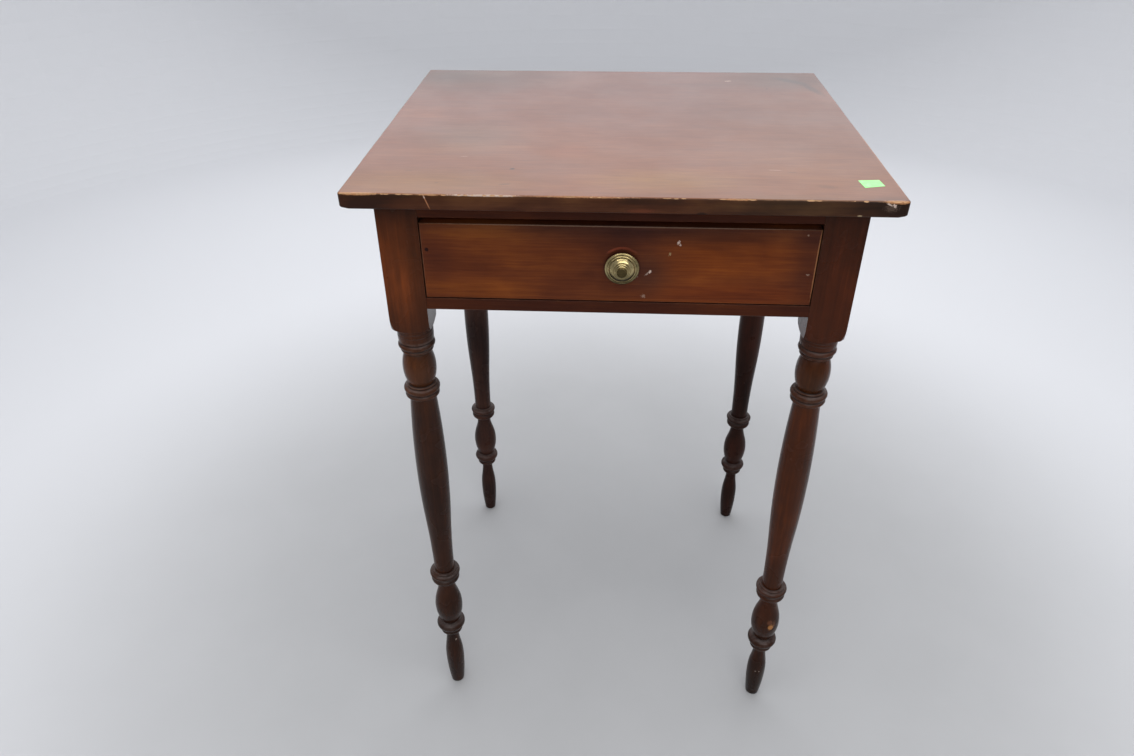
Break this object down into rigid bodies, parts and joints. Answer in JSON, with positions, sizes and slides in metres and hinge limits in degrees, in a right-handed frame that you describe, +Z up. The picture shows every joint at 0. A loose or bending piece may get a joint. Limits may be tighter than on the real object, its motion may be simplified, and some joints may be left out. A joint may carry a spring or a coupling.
{
  "type": "tavern table",
  "caption": "Small wooden tavern table with a plain overhanging top, turned tapering legs and a drawer with a round brass knob.",
  "frame": {"origin": "on the floor under the middle of the table: the middle of the footprint's bounding box, level with the feet", "axes": "+Z up, +X to the right across the front as the user faces it, -Y out of the front, the way the drawer opens"},
  "size_m": [0.495, 0.432, 0.724],
  "materials": {
    "top_wood": "worn satin varnish, reddish brown",
    "leg_wood": "old dark varnish, satin",
    "frame_wood": "old dark varnish, satin",
    "front_wood": "worn satin varnish, orange brown",
    "inner_wood": "unfinished, matt, darkened with age",
    "knob_brass": "aged brass, dull",
    "fixing_steel": "dull steel"
  },
  "bodies": {
    "frame": {"tabletop": "top_wood", "leg_front_left": "leg_wood", "leg_front_right": "leg_wood", "leg_back_left": "leg_wood", "leg_back_right": "leg_wood", "apron_left": "frame_wood", "apron_right": "frame_wood", "apron_back": "frame_wood", "upper_rail": "frame_wood", "lower_rail": "frame_wood", "runner_left": "inner_wood", "runner_right": "inner_wood", "guide_left": "inner_wood", "guide_right": "inner_wood", "kicker_left": "inner_wood", "kicker_right": "inner_wood", "drawer_stops": "inner_wood", "glue_blocks": "inner_wood", "apron_pegs": "leg_wood"},
    "drawer": {"drawer_front": "front_wood", "drawer_side_left": "inner_wood", "drawer_side_right": "inner_wood", "drawer_back": "inner_wood", "drawer_bottom": "inner_wood", "knob": "knob_brass", "knob_stud": "fixing_steel", "knob_nut": "fixing_steel"}
  },
  "joints": [
    {"name": "drawer_slide", "type": "slide", "parent": "frame", "child": "drawer", "axis": [0, -1, 0], "range_m": [0, 0.26]}
  ]
}
